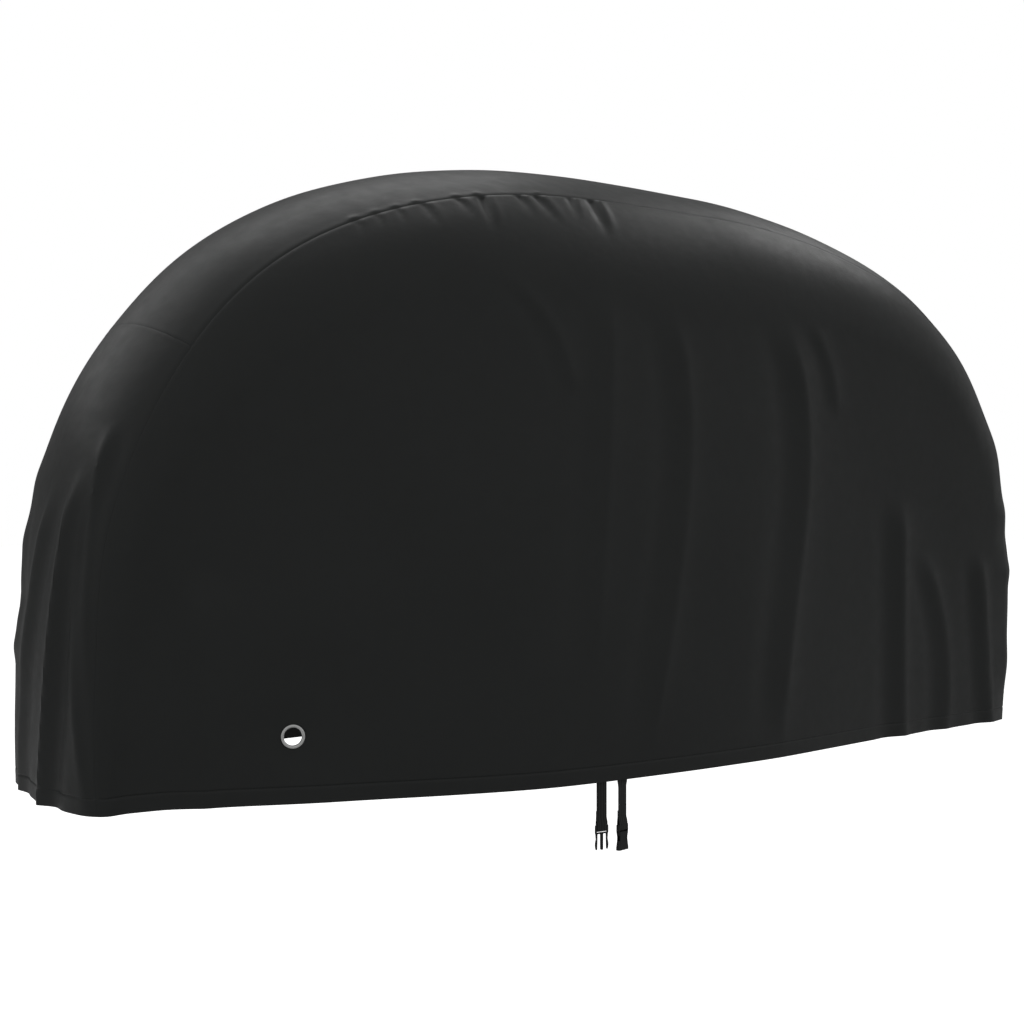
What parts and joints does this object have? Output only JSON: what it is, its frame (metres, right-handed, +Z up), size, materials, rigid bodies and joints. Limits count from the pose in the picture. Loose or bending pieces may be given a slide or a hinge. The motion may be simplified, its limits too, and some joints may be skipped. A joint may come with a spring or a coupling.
{
  "type": "bicycle cover",
  "caption": "Fitted coated-cloth cover draped over an upright bicycle, open at the bottom, with an eyelet and side-release buckle straps at its hem.",
  "frame": {"origin": "underside of the cover's cloth over the middle of its length, at the top, where the bicycle carries it", "axes": "+X along the cover to its tail end, -Y out of the side that has the eyelet and straps, +Z up"},
  "size_m": [2.022, 0.7178, 1.1557],
  "materials": {
    "coated_cloth": "satin",
    "webbing": "matte",
    "buckle_plastic": "satin",
    "eyelet_metal": "polished"
  },
  "bodies": {
    "root": {"near_panel": "coated_cloth", "far_panel": "coated_cloth", "crown_strip": "coated_cloth", "nose_strip": "coated_cloth", "eyelet": "eyelet_metal", "strap_left": "webbing", "strap_right": "webbing", "buckle_prongs": "buckle_plastic", "buckle_socket": "buckle_plastic"}
  },
  "joints": []
}
